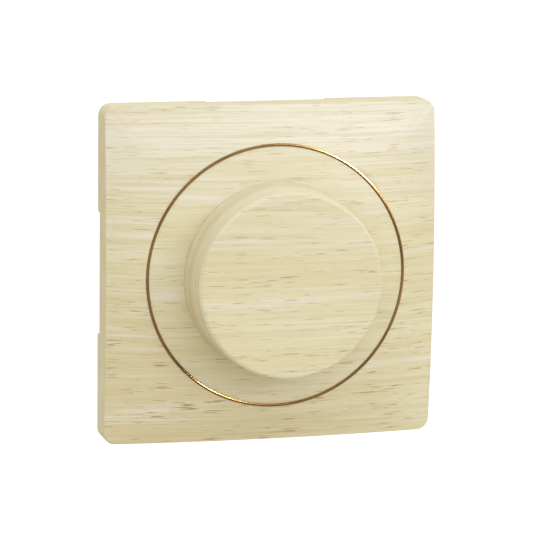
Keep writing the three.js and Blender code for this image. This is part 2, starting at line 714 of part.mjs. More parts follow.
function terminalBlock() {
  const body = block(-BLOCK_HALF_X, BLOCK_HALF_X, BOARD_BACK_Y + GAP, BLOCK_BACK_Y, BLOCK_Z0, BLOCK_Z1);
  const cuts = [];
  for (let i = 0; i < TERMINAL_COUNT; i += 1) {
    const x = terminalX(i);
    cuts.push(block(x - 3.6, x + 3.6, CHAMBER_Y0, CHAMBER_Y1, BLOCK_Z0 - 1, ENTRY_Z + 2.4));
    cuts.push(barY(1.9, CHAMBER_Y1 - 1, BLOCK_BACK_Y + 1, x, ENTRY_Z, 16));
    cuts.push(barY(2.7, CHAMBER_Y1 - 1, BLOCK_BACK_Y + 1, x, SCREW_Z, 16));
  }
  for (let i = 1; i < TERMINAL_COUNT; i += 1) {
    const x = (terminalX(i) + terminalX(i - 1)) / 2;
    cuts.push(block(x - 0.5, x + 0.5, CASE_BACK_Y + 0.4, BLOCK_BACK_Y + 1, BLOCK_Z0 - 1, BLOCK_Z1 + 1));
  }
  return cut(body, cuts);
}

// A tinned cage: the screw goes through its near wall and presses the wire in its far half.
function terminalClamp(i) {
  const x = terminalX(i);
  const cage = block(x - 3.2, x + 3.2, CHAMBER_Y0 + 0.4, CHAMBER_Y1 - 0.4, -19, ENTRY_Z + 2.0);
  const wireWay = block(x - 2.1, x + 2.1, CHAMBER_Y0 - 1, CHAMBER_Y1 + 1, ENTRY_Z - 2.0, ENTRY_Z + 1.1);
  const thread = barY(1.5 + GAP, CHAMBER_Y0 - 1, CHAMBER_Y1 + 1, x, SCREW_Z, 14);
  return cut(cage, [wireWay, thread]);
}

function slottedScrew(x, z, shankR, headR, headY0, headY1, tipY) {
  const head = barY(headR, Math.min(headY0, headY1), Math.max(headY0, headY1), x, z, 16);
  const [y0, y1] = tipY < headY0 ? [tipY, headY0 + 0.1] : [headY1 - 0.1, tipY];
  const shank = barY(shankR, y0, y1, x, z, 14);
  const outerFace = tipY < headY0 ? headY1 : headY0;
  const slot = block(x - headR - 1, x + headR + 1, outerFace - 0.9, outerFace + 0.9, z - 0.4, z + 0.4);
  return cut(union([head, shank]), [slot]);
}

function terminalScrew(i) {
  return slottedScrew(terminalX(i), SCREW_Z, 1.5, 2.3, CHAMBER_Y1, CHAMBER_Y1 + 2, CHAMBER_Y0 + 1);
}

// ---------------------------------------------------------------- spreading claws
// A bell crank: the screw pulls its short arm forward and its long toothed arm swings outwards, past the
// screw, which goes between the arm's two rails.
function claw(side) {
  const lever = polygon([
    [-1.3, -1.3],
    [1.3, -1.3],
    [2.0, 0.6],
    [7.4, 0.6],
    [7.4, 1.8],
    [1.3, 1.8],
    [0.6, 3.2],
    [0.6, 17.0],
    [4.2, 18.6],
    [3.0, 19.6],
    [4.2, 21.0],
    [-0.6, 20.2],
    [-0.6, 2.2],
    [-1.3, 1.3],
  ]);
  const eyeX = CLAW_SCREW_X - CLAW_PIVOT_X;
  const body = plank(lever, CLAW_WIDTH);
  const railOuter = CLAW_WIDTH / 2 - 2.2;
  const waist = block(-3, 9, 4.5, 17, railOuter, CLAW_WIDTH);
  const eye = block(eyeX - 2.3, eyeX + 2.1, -1, 3, -1.9, 1.9);
  const screwWay = block(-3, 3, 5, 12.5, -1.9, 1.9);
  const pinHole = barZ(PIN_R + GAP, -9, 9, 0, 0, 12);
  const cuts = [waist, waist.mirror([0, 0, 1]), eye, screwWay, pinHole];
  const made = cut(body, cuts).translate([CLAW_PIVOT_X, CLAW_PIVOT_Y, 0]);
  return side > 0 ? made : made.mirror([1, 0, 0]);
}

function clawPin(side) {
  const reach = CLAW_WIDTH / 2 + GAP + 1.6;
  return barZ(PIN_R, -reach, reach, CLAW_PIVOT_X * side, CLAW_PIVOT_Y, 12);
}

function clawScrew(side) {
  const headBack = -FRAME_THICK - GAP;
  return slottedScrew(CLAW_SCREW_X * side, 0, 1.45, 2.8, headBack - 1.8, headBack, 12);
}

// ---------------------------------------------------------------- assembly
add('cover_plate', coverPlate(), wood);
add('trim_ring', trimRing(), copper);
add('centre_disc', centreDisc(), wood);
add('knob', knob(), wood);
add('knob_clip', knobClip(), steel);
add('spindle', spindle(), brass);
add('bush_nut', bushNut(), brass);
add('bush_washer', bushWasher(), steel);
add('threaded_bush', threadedBush(), brass);
add('potentiometer_shell', potentiometerShell(), blackPlastic);
add('resistance_track', resistanceTrack(), blackPlastic);
add('wiper_rotor', wiperRotor(), whitePlastic);
add('wiper_brush', wiperBrush(), brass);
add('switch_case', switchCase(), blackPlastic);
add('switch_plunger', switchPlunger(), whitePlastic);
add('contact_bridge', contactBridge(), brass);
add('fixed_contact_left', fixedContact(-1), brass);
add('fixed_contact_right', fixedContact(1), brass);
add('return_spring', returnSpring(), steel);
add('support_frame', supportFrame(), steel);
rivetSpots.forEach((spot, i) => add(`frame_rivet_${i + 1}`, rivet(spot), brass));
add('module_case', moduleCase(), greyPlastic);
add('rear_cover', rearCover(), whitePlastic);
add('circuit_board', circuitBoard(), () => material(0x2f6b3c, 0.5));
add('choke_coil', chokeCoil(), copper);
add('film_capacitor', filmCapacitor(), () => material(0xb98a2c, 0.4));
add('electrolytic_capacitor', electrolyticCapacitor(), blackPlastic);
add('control_chip', controlChip(), blackPlastic);
add('heat_sink', heatSink(), aluminium);
add('power_transistor_left', powerTransistor(-4.6), blackPlastic);
add('power_transistor_right', powerTransistor(4.6), blackPlastic);
add('fuse_link', fuseLink(), whitePlastic);
add('fuse_clip_left', fuseClip(-1), tinned);
add('fuse_clip_right', fuseClip(1), tinned);
add('terminal_block', terminalBlock(), whitePlastic);
for (let i = 0; i < TERMINAL_COUNT; i += 1) {
  add(`terminal_clamp_${i + 1}`, terminalClamp(i), tinned);
  add(`terminal_screw_${i + 1}`, terminalScrew(i), steel);
}
for (const [side, word] of [[-1, 'left'], [1, 'right']]) {
  add(`claw_${word}`, claw(side), steel);
  add(`claw_pin_${word}`, clawPin(side), steel);
  add(`claw_screw_${word}`, clawScrew(side), steel);
}

export default dimmer;
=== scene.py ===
import math

import bmesh
import bpy
from mathutils import Matrix, Vector


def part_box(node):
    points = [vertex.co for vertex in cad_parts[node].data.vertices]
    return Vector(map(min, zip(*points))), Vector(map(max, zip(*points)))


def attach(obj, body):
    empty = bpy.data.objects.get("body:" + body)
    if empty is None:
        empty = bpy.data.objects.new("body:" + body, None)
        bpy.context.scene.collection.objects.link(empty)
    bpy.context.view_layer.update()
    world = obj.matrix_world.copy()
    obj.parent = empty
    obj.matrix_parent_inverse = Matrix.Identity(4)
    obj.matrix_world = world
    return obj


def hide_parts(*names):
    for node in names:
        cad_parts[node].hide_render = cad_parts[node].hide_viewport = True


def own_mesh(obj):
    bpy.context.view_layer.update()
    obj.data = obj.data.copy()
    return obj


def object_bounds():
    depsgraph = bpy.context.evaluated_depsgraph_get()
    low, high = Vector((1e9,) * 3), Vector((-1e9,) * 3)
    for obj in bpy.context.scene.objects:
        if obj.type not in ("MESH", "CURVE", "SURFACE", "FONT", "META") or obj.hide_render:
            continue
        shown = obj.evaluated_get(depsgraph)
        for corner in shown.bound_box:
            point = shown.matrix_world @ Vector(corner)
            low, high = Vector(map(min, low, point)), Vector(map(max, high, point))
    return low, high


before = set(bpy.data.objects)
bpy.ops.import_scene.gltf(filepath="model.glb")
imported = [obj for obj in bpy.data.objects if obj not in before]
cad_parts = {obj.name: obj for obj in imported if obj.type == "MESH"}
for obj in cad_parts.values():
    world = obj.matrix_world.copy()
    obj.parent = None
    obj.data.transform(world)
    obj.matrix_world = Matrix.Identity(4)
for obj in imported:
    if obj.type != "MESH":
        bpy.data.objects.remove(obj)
cad_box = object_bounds()

# ---------------------------------------------------------------- sizes
# Lengths below are in millimetres, in the frame's axes: +X right, +Y into the wall, +Z up.
MM = 0.001  # metres
GAP = 0.3  # clearance in the CAD between pieces that touch in the real object


def box_mm(node):
    """Lowest and highest corners of a CAD node at rest."""
    low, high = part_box(node)
    return low / MM, high / MM


plate_low, plate_high = box_mm("cover_plate")
ring_low, ring_high = box_mm("trim_ring")
knob_low, knob_high = box_mm("knob")

PLATE_HALF = plate_high.x
PLATE_CORNER = 3.0  # corner radius seen from the front
PLATE_EDGE_Y = -9.6  # front face at the middle of a side
PLATE_CORNER_FALL = 2.33  # how much nearer the wall the face is at the corners
PLATE_CONVEX = 0.15  # share of the face's fall that comes late, near the edge
PLATE_LIP = 0.05  # the face's small turn-down at the round opening
PLATE_ROUND = 0.45  # rounding of the front edge
PLATE_WALL = 2.0
BACK_CHAMFER = 0.2
SIDE_STEPS = 30
CORNER_STEPS = 12
LEG_X = 18.0  # two legs on each side hold the plate on the frame
LEG_HALF = 3.0
LEG_INNER = 36.7
LEG_THICK = 1.4
NOTCH_LENGTH = 31.0
NOTCH_DEPTH = 2.3
NOTCH_INTO_WALL = 1.2

RING_OUTER = ring_high.x
RING_INNER = RING_OUTER - 0.6
RING_TOP_Y = ring_low.y
RING_Y = RING_TOP_Y + 0.2
RING_BACK_Y = ring_high.y
RING_FOOT = 0.6  # thickness of the ring's flat foot
PLATE_INNER_Y = RING_Y + 0.15  # front face at the round opening
SEAM = 0.02  # visible joint between the ring and what it lies in

DISC_R = RING_INNER - SEAM
WELL_FLOOR_Y = -11.2
DISC_INNER_Y = RING_Y - 1.2
DISC_LIP = 0.1  # thickness of the disc's edge round the knob
DISC_SEAM = 0.015  # visible joint between the disc and the knob
FLOOR_THICK = 1.5
WELL_WALL = 1.6
BOSS_R = 9.0
BUSH_R = 5.0
PEG_X = 16.0
PEG_R = 1.2
CASE_FRONT_Y = box_mm("module_case")[0].y

KNOB_BASE_R = knob_high.x
WELL_R = KNOB_BASE_R + 0.05
KNOB_RIM_R = KNOB_BASE_R - 0.7
KNOB_CROWN = 0.25
KNOB_FRONT_Y = knob_low.y + KNOB_CROWN
KNOB_ROUND = 1.0
KNOB_WALL = 2.0
KNOB_FACE_THICK = 2.4
SKIRT_BACK_Y = -13.1
HUB_BACK_Y = -17.3
HUB_R = 6.6
SPINDLE_R = 3.0
SPINDLE_FLAT = 1.5
CLIP_ROOM = 1.1  # between the spindle's flat and the flat of the hub's bore

THREAD_PITCH = 0.6
THREAD_DEPTH = 0.22

ROUND_STEPS = 192  # sides of the large turned pieces
BITE = 0.3  # how far a joined piece reaches into the other
PAST = 1.0  # how far a cutting tool reaches past what it cuts

IMAGE_SIDE = 550  # pixels
SENSOR = 36.0  # width of the camera's sensor


# ---------------------------------------------------------------- node graphs
def srgb(red, green, blue):
    """A linear colour from screen values of 0 to 255."""

    def linear(value):
        value /= 255
        return value / 12.92 if value <= 0.04045 else ((value + 0.055) / 1.055) ** 2.4

    return (linear(red), linear(green), linear(blue), 1.0)


class Graph:
    """A material's node tree, with one short call for each kind of node."""

    def __init__(self, name):
        self.material = bpy.data.materials.new(name)
        self.material.use_nodes = True
        self.tree = self.material.node_tree
        self.shader = self.tree.nodes["Principled BSDF"]

    def add(self, kind, inputs=None, **settings):
        node = self.tree.nodes.new(kind)
        for key, value in settings.items():
            setattr(node, key, value)
        for key, value in (inputs or {}).items():
            self.put(node.inputs[key], value)
        return node

    def put(self, socket, value):
        if isinstance(value, bpy.types.NodeSocket):
            self.tree.links.new(value, socket)
        else:
            socket.default_value = value

    def math(self, operation, *values):
        return self.add("ShaderNodeMath", dict(enumerate(values)), operation=operation).outputs[0]

    def times(self, vector, factors):
        node = self.add("ShaderNodeVectorMath", {0: vector, 1: factors}, operation="MULTIPLY")
        return node.outputs["Vector"]

    def noise(self, vector, detail=2.0, roughness=0.5):
        inputs = {"Vector": vector, "Scale": 1.0, "Detail": detail, "Roughness": roughness}
        return self.add("ShaderNodeTexNoise", inputs).outputs[0]

    def step(self, value, low, high, out_low=0.0, out_high=1.0):
        """A smooth step from out_low to out_high as value goes from low to high."""
        inputs = {0: value, 1: low, 2: high, 3: out_low, 4: out_high}
        return self.add("ShaderNodeMapRange", inputs, interpolation_type="SMOOTHSTEP").outputs[0]

    def blend(self, amount, first, second):
        """The first colour where amount is 0, and the second where it is 1."""
        node = self.add("ShaderNodeMix", {0: amount, 6: first, 7: second}, data_type="RGBA")
        return node.outputs[2]

    def place(self):
        """The point on the piece, in millimetres."""
        return self.times(self.add("ShaderNodeTexCoord").outputs["Object"], (1 / MM,) * 3)

    def bump(self, height, depth):
        inputs = {"Height": height, "Distance": depth * MM}
        self.put(self.shader.inputs["Normal"], self.add("ShaderNodeBump", inputs).outputs[0])

    def finish(self, **values):
        """Sets shader sockets by name, with _ for a space."""
        for key, value in values.items():
            self.put(self.shader.inputs[key.replace("_", " ")], value)
        return self.material


# ---------------------------------------------------------------- wood
CREAM = srgb(226, 219, 184)
STRAW = srgb(222, 212, 169)
OLIVE = srgb(216, 208, 164)
PALE = srgb(232, 228, 210)
PORE = srgb(172, 144, 88)
FIBRE = srgb(206, 192, 145)
# Tan of the painted shade on the lower left.
SHADE_TAN = srgb(210, 194, 148)
# Bluish white of the painted sheen on the upper wood.
SHEEN_WHITE = srgb(230, 228, 222)
STREAK = srgb(204, 182, 126)


def wood(name, turn_axes=False, offset=(0, 0, 0), figure=0.85, lower_left_shade=0.0, streak_y=None):
    """Blond lacquered wood, whitened towards the top by a painted sheen. The grain runs along X, or round
    the Y axis where turn_axes is set.

    figure scales the contrast of the grain. The argument after figure sets how far painted shade darkens
    the lower left towards tan.
    streak_y is where a darker streak runs round the piece.
    """
    g = Graph(name)
    parts = g.add("ShaderNodeSeparateXYZ", {0: g.place()}).outputs
    long_a = parts["X"]
    long_b = parts["Z"] if turn_axes else 0.0
    fine = parts["Y"] if turn_axes else parts["Z"]
    spot = g.add("ShaderNodeCombineXYZ", {0: long_a, 1: long_b, 2: fine}).outputs[0]
    spot = g.add("ShaderNodeVectorMath", {0: spot, 1: offset}, operation="ADD").outputs[0]

    # The grain lines wander a little.
    wander = g.noise(g.times(spot, (0.018, 0.018, 0.02)), detail=1.0)
    drift = g.math("MULTIPLY", g.math("SUBTRACT", wander, 0.5), 1.2)
    spot_parts = g.add("ShaderNodeSeparateXYZ", {0: spot}).outputs
    fine = g.math("ADD", spot_parts["Z"], drift)
    spot = g.add("ShaderNodeCombineXYZ", {0: spot_parts["X"], 1: spot_parts["Y"], 2: fine}).outputs[0]

    tone = g.noise(g.times(spot, (0.015, 0.015, 0.13)), detail=3.0)
    colour = g.blend(g.step(tone, 0.36, 0.64), STRAW, CREAM)
    green = g.noise(g.times(spot, (0.025, 0.025, 0.30)), detail=2.0)
    colour = g.blend(g.step(green, 0.50, 0.75, 0.0, 0.6), colour, OLIVE)

    # Painted shade: the lower left is blended towards tan, standing in for the shadow that falls below and
    # left of the knob.
    if lower_left_shade:
        slope = g.math("ADD", parts["Z"], g.math("MULTIPLY", parts["X"], 0.7))
        away = g.math("ADD", slope, g.math("MULTIPLY", tone, 30.0))
        colour = g.blend(g.step(away, -55.0, 5.0, lower_left_shade, 0.0), colour, SHADE_TAN)
    # Painted sheen: the wood is blended towards bluish white as it rises, standing in for overhead light
    # on the lacquer.
    top_sheen = g.math("ADD", parts["Z"], g.math("MULTIPLY", tone, 24.0))
    colour = g.blend(g.step(top_sheen, 14.0, 66.0, 0.0, 0.50), colour, SHEEN_WHITE)

    band = g.noise(g.times(spot, (0.020, 0.020, 0.34)), detail=4.0, roughness=0.6)
    colour = g.blend(g.step(band, 0.50, 0.72, 0.0, 0.80), colour, PALE)

    lines = g.noise(g.times(spot, (0.014, 0.014, 0.9)), detail=3.0, roughness=0.6)
    colour = g.blend(g.step(lines, 0.45, 0.66, 0.0, 0.42 * figure), colour, FIBRE)
    fibre = g.noise(g.times(spot, (0.04, 0.04, 2.6)), detail=3.0, roughness=0.65)
    colour = g.blend(g.step(fibre, 0.45, 0.70, 0.0, 0.50 * figure), colour, FIBRE)
    thread = g.noise(g.times(spot, (0.03, 0.03, 1.7)), detail=2.0, roughness=0.6)
    colour = g.blend(g.step(thread, 0.52, 0.72, 0.0, 0.50), colour, PALE)

    # Short dark pores, gathered in clusters and fainter where the painted sheen whitens the upper wood.
    cluster = g.noise(g.times(spot, (0.04, 0.04, 0.5)), detail=2.0)
    grains = g.noise(g.times(spot, (0.15, 0.15, 2.9)), detail=2.0, roughness=0.5)
    gathered = g.math("ADD", grains, g.math("MULTIPLY", cluster, 0.4))
    pores = g.step(gathered, 0.81, 0.90)
    strength = g.step(top_sheen, 10.0, 50.0, 0.80 * figure, 0.42 * figure)
    colour = g.blend(g.math("MULTIPLY", pores, strength), colour, PORE)

    if streak_y is not None:
        width = g.noise(g.times(spot, (0.05, 0.05, 0.2)), detail=2.0)
        away = g.math("ABSOLUTE", g.math("SUBTRACT", parts["Y"], streak_y))
        shade = g.math("MULTIPLY", g.step(away, 0.2, 2.6, 1.0, 0.0), g.step(width, 0.25, 0.6))
        colour = g.blend(g.math("MULTIPLY", shade, 0.5), colour, STREAK)

    rough = g.math("ADD", 0.36, g.math("MULTIPLY", fibre, 0.12))
    height = g.math("SUBTRACT", g.math("MULTIPLY", fibre, 0.35), pores)
    g.bump(height, 0.015)
    return g.finish(Base_Color=colour, Roughness=rough, Specular_IOR_Level=0.8)


def side_plastic(name):
    """The plain tan moulding under the wood face: side walls, backs and undersides."""
    g = Graph(name)
    spot = g.place()
    cloud = g.noise(g.times(spot, (0.12, 0.12, 0.12)), detail=3.0)
    speck = g.noise(g.times(spot, (2.2, 2.2, 2.2)), detail=3.0, roughness=0.65)
    colour = g.blend(g.step(cloud, 0.35, 0.65), srgb(222, 212, 174), srgb(217, 205, 165))
    colour = g.blend(g.step(speck, 0.55, 0.75, 0.0, 0.22), colour, srgb(206, 192, 148))
    g.bump(speck, 0.01)
    rough = g.math("ADD", 0.40, g.math("MULTIPLY", speck, 0.14))
    return g.finish(Base_Color=colour, Roughness=rough, Specular_IOR_Level=0.4)


# ---------------------------------------------------------------- moulded plastics
def moulded(name, light, dark, rough, grain=1.6):
    """Moulded plastic: a fine spark-eroded grain, faint flow clouds and edges rubbed paler."""
    g = Graph(name)
    spot = g.place()
    cloud = g.noise(g.times(spot, (0.09, 0.09, 0.09)), detail=3.0)
    speck = g.noise(g.times(spot, (grain,) * 3), detail=4.0, roughness=0.7)
    colour = g.blend(g.step(cloud, 0.3, 0.7), light, dark)
    colour = g.blend(g.step(speck, 0.5, 0.8, 0.0, 0.35), colour, dark)
    colour = g.blend(g.math("MULTIPLY", edge_mask(g, 0.25), 0.35), colour, PALE)
    g.bump(speck, 0.02)
    roughness = g.math("ADD", rough - 0.07, g.math("MULTIPLY", speck, 0.16))
    return g.finish(Base_Color=colour, Roughness=roughness)


def edge_mask(g, radius):
    """1 along edges that stick out, 0 on flat surfaces."""
    soft = g.add("ShaderNodeBevel", {"Radius": radius * MM}, samples=4).outputs[0]
    hard = g.add("ShaderNodeNewGeometry").outputs["Normal"]
    same = g.add("ShaderNodeVectorMath", {0: soft, 1: hard}, operation="DOT_PRODUCT").outputs["Value"]
    return g.step(same, 0.86, 0.995, 1.0, 0.0)


# ---------------------------------------------------------------- metals
def metal(name, light, dark, rough, brushed=(0.4, 0.4, 6.0)):
    """Metal with a drawn or plated grain, cloudy tarnish and bright edges."""
    g = Graph(name)
    spot = g.place()
    cloud = g.noise(g.times(spot, (0.3, 0.3, 0.3)), detail=4.0, roughness=0.6)
    lines = g.noise(g.times(spot, brushed), detail=4.0, roughness=0.65)
    colour = g.blend(g.step(cloud, 0.30, 0.75, 0.0, 0.6), light, dark)
    colour = g.blend(g.step(lines, 0.52, 0.75, 0.0, 0.25), colour, dark)
    colour = g.blend(g.math("MULTIPLY", edge_mask(g, 0.18), 0.5), colour, PALE)
    g.bump(lines, 0.006)
    roughness = g.math("ADD", rough - 0.06, g.math("MULTIPLY", g.math("ADD", cloud, lines), 0.06))
    return g.finish(Base_Color=colour, Roughness=roughness, Metallic=1.0)


def copper_trim(name):
    """The polished bronze-coloured trim, with faint turning lines."""
    g = Graph(name)
    spot = g.place()
    cloud = g.noise(g.times(spot, (0.05, 0.05, 0.05)), detail=2.0)
    lines = g.noise(g.times(spot, (1.5, 6.0, 1.5)), detail=3.0)
    colour = g.blend(g.step(cloud, 0.35, 0.65), srgb(156, 122, 74), srgb(124, 92, 52))
    g.bump(lines, 0.003)
    roughness = g.math("ADD", 0.16, g.math("MULTIPLY", lines, 0.12))
    return g.finish(Base_Color=colour, Roughness=roughness, Metallic=1.0)


# ---------------------------------------------------------------- module materials
def board_green(name):
    """Glass-fibre board: green resist over raised tracks, with a woven ground."""
    g = Graph(name)
    spot = g.place()
    weave = g.add(
        "ShaderNodeTexWave", {"Vector": spot, "Scale": 0.9, "Distortion": 0.6, "Detail": 2.0}
    ).outputs[1]
    cells = g.add(
        "ShaderNodeTexVoronoi",
        {"Vector": g.times(spot, (0.28, 0.0, 0.28)), "Scale": 1.0, "Randomness": 0.75},
        feature="DISTANCE_TO_EDGE",
        distance="CHEBYCHEV",
    ).outputs["Distance"]
    track = g.step(cells, 0.10, 0.16, 1.0, 0.0)
    colour = g.blend(track, srgb(34, 88, 52), srgb(70, 122, 66))
    colour = g.blend(g.math("MULTIPLY", weave, 0.18), colour, srgb(24, 66, 40))
    g.bump(track, 0.03)
    rough = g.math("ADD", 0.28, g.math("MULTIPLY", weave, 0.15))
    return g.finish(Base_Color=colour, Roughness=rough)


def winding(name):
    """Enamelled copper wire."""
    g = Graph(name)
    spot = g.place()
    cloud = g.noise(g.times(spot, (0.6, 0.6, 0.6)), detail=3.0)
    colour = g.blend(g.step(cloud, 0.35, 0.7), srgb(198, 104, 52), srgb(158, 74, 34))
    g.bump(cloud, 0.01)
    rough = g.math("ADD", 0.2, g.math("MULTIPLY", cloud, 0.15))
    return g.finish(Base_Color=colour, Roughness=rough, Metallic=1.0, Coat_Weight=0.6)


LOOKS = {
    # The plate's wood carries painted shade at its lower left.
    "plate_wood": wood("plate_wood", offset=(12.0, 0.0, 31.0), figure=1.12, lower_left_shade=0.8),
    "disc_wood": wood("disc_wood", offset=(151.0, 0.0, -77.0)),
    "knob_wood": wood("knob_wood", offset=(-83.0, 0.0, 208.0)),
    "knob_flank_wood": wood(
        "knob_flank_wood", True, offset=(41.0, 17.0, 93.0), figure=0.6, streak_y=-19.4
    ),
    "tan_plastic": side_plastic("tan_plastic"),
    "copper_trim": copper_trim("copper_trim"),
    "steel": metal("steel", srgb(198, 201, 205), srgb(160, 164, 170), 0.34),
    "spring_steel": metal("spring_steel", srgb(176, 178, 184), srgb(134, 136, 142), 0.26),
    "brass": metal("brass", srgb(214, 178, 96), srgb(182, 140, 62), 0.28),
    "tinned": metal("tinned", srgb(206, 208, 208), srgb(170, 172, 172), 0.36, (1.2, 1.2, 1.2)),
    "aluminium": metal("aluminium", srgb(208, 211, 214), srgb(176, 180, 186), 0.38),
    "grey_plastic": moulded("grey_plastic", srgb(184, 187, 189), srgb(166, 170, 173), 0.55),
    "white_plastic": moulded("white_plastic", srgb(232, 231, 224), srgb(218, 216, 208), 0.48),
    "black_plastic": moulded("black_plastic", srgb(38, 39, 42), srgb(24, 25, 27), 0.45),
    "board_green": board_green("board_green"),
    "copper_wire": winding("copper_wire"),
    "ochre_resin": moulded("ochre_resin", srgb(196, 146, 48), srgb(176, 126, 38), 0.35),
    "ferrite": moulded("ferrite", srgb(66, 64, 62), srgb(44, 42, 41), 0.6, 2.4),
    "ceramic": moulded("ceramic", srgb(238, 234, 224), srgb(222, 216, 204), 0.35),
}


# ---------------------------------------------------------------- meshes
def new_piece(name, points, faces, looks, look_of=None):
    """A mesh piece. Points are in millimetres, and look_of gives each face's index in looks."""
    mesh = bpy.data.meshes.new(name)
    mesh.from_pydata([Vector(p) * MM for p in points], [], faces)
    for look in looks:
        mesh.materials.append(LOOKS[look])
    if look_of:
        mesh.polygons.foreach_set("material_index", look_of)
    tidy(mesh)
    piece = bpy.data.objects.new(name, mesh)
    bpy.context.scene.collection.objects.link(piece)
    return piece


def tidy(mesh):
    """Outward faces, smooth shading and crisp edges."""
    made = bmesh.new()
    made.from_mesh(mesh)
    bmesh.ops.remove_doubles(made, verts=made.verts, dist=1e-3 * MM)
    bmesh.ops.recalc_face_normals(made, faces=made.faces)
    made.to_mesh(mesh)
    made.free()
    mesh.shade_smooth()
    mesh.set_sharp_from_angle(angle=math.radians(32))


def loft(name, rows, row_looks, looks):
    """A closed tube of rings: each row is a list of points, and the last row joins the first."""
    columns = len(rows[0])
    points = [p for row in rows for p in row]
    faces = []
    look_of = []
    for i in range(len(rows)):
        j = (i + 1) % len(rows)
        for c in range(columns):
            d = (c + 1) % columns
            faces.append((i * columns + c, i * columns + d, j * columns + d, j * columns + c))
            look_of.append(row_looks[i])
    return new_piece(name, points, faces, looks, look_of)


def turned(name, profile, looks, look_of_segment=None, sides=ROUND_STEPS, centre=(0, 0)):
    """A closed profile of (radius, y) points turned round an axis along Y through centre (x, z)."""
    points = []
    rings = []
    for radius, y in profile:
        if radius < 1e-6:
            rings.append([len(points)] * sides)
            points.append((centre[0], y, centre[1]))
            continue
        rings.append(list(range(len(points), len(points) + sides)))
        for k in range(sides):
            a = 2 * math.pi * k / sides
            points.append((centre[0] + radius * math.cos(a), y, centre[1] + radius * math.sin(a)))
    faces = []
    look_of = []
    for i in range(len(profile)):
        a, b = rings[i], rings[(i + 1) % len(profile)]
        if a[0] == a[-1] and b[0] == b[-1]:
            continue
        for k in range(sides):
            n = (k + 1) % sides
            faces.append(list(dict.fromkeys((a[k], a[n], b[n], b[k]))))
            look_of.append(look_of_segment[i] if look_of_segment else 0)
    return new_piece(name, points, faces, looks, look_of)


def arc(centre_r, centre_y, radius, start, end, steps):
    """Profile points along an arc; angles in degrees, 0 outwards and 90 towards the front."""
    made = []
    for k in range(steps + 1):
        a = math.radians(start + (end - start) * k / steps)
        made.append((centre_r + radius * math.cos(a), centre_y - radius * math.sin(a)))
    return made


def rounded(profile, radius=0.18, steps=3, skip=()):
    """The closed profile with its sharp corners rounded, and for each point the corner it came from."""
    made = []
    source = []
    count = len(profile)
    for i, point in enumerate(profile):
        here = Vector(point)
        before = Vector(profile[i - 1]) - here
        after = Vector(profile[(i + 1) % count]) - here
        sharp = min(before.length, after.length) > 1e-6 and before.angle(after) < math.radians(150)
        if not sharp or here.x < 1e-6 or i in skip:
            made.append(tuple(here))
            source.append(i)
            continue
        reach = min(radius, before.length * 0.4, after.length * 0.4)
        start = here + before.normalized() * reach
        end = here + after.normalized() * reach
        for k in range(steps + 1):
            t = k / steps
            made.append(tuple(start * (1 - t) ** 2 + here * 2 * t * (1 - t) + end * t**2))
            source.append(i if t > 0.5 else i - 1)
    return made, source


def block(x0, x1, y0, y1, z0, z1, look=0):
    """A plain box used only to cut or join; its faces take material number look."""
    points = [(x, y, z) for x in (x0, x1) for y in (y0, y1) for z in (z0, z1)]
    faces = [(0, 1, 3, 2), (4, 6, 7, 5), (0, 4, 5, 1), (2, 3, 7, 6), (0, 2, 6, 4), (1, 5, 7, 3)]
    return new_piece("tool", points, faces, [], [look] * 6)


def bar(radius, y0, y1, x=0.0, z=0.0, sides=48, look=0):
    """A round bar along Y used only to cut or join."""
    profile = [(0, y0), (radius, y0), (radius, y1), (0, y1)]
    return turned("tool", profile, [], [look] * 4, sides, (x, z))


def swept(name, path, radius, looks, closed=False, sides=12):
    """A round wire that follows a list of points."""
    count = len(path)
    path = [Vector(p) for p in path]
    points = []
    normal = None
    for i, here in enumerate(path):
        after = path[(i + 1) % count] if closed or i < count - 1 else here
        before = path[i - 1] if closed or i > 0 else here
        along = (after - before).normalized()
        normal = normal or along.orthogonal()
        normal = (normal - along * along.dot(normal)).normalized()
        across = along.cross(normal)
        for k in range(sides):
            a = 2 * math.pi * k / sides
            points.append(here + (normal * math.cos(a) + across * math.sin(a)) * radius)
    faces = []
    for i in range(count if closed else count - 1):
        j = (i + 1) % count
        for k in range(sides):
            n = (k + 1) % sides
            faces.append((i * sides + k, i * sides + n, j * sides + n, j * sides + k))
    if not closed:
        faces.append(tuple(range(sides)))
        faces.append(tuple(range((count - 1) * sides, count * sides)))
    return new_piece(name, points, faces, looks)


def threaded_bar(radius, y0, y1, x, z, sides=32):
    """A round bar along Y with a real helical thread cut into it, used only to join."""
    steps = 6
    rows = round((y1 - y0) / THREAD_PITCH * steps)
    points = []
    for i in range(rows + 1):
        y = y0 + (y1 - y0) * i / rows
        for k in range(sides):
            phase = (i / steps - k / sides) % 1
            r = radius - THREAD_DEPTH * abs(2 * phase - 1)
            a = 2 * math.pi * k / sides
            points.append((x + r * math.cos(a), y, z + r * math.sin(a)))
    faces = []
    for i in range(rows):
        for k in range(sides):
            n = (k + 1) % sides
            low, high = i * sides, (i + 1) * sides
            faces.append((low + k, low + n, high + n, high + k))
    faces.append(tuple(range(sides)))
    faces.append(tuple(range(rows * sides, (rows + 1) * sides)))
    return new_piece("tool", points, faces, [])


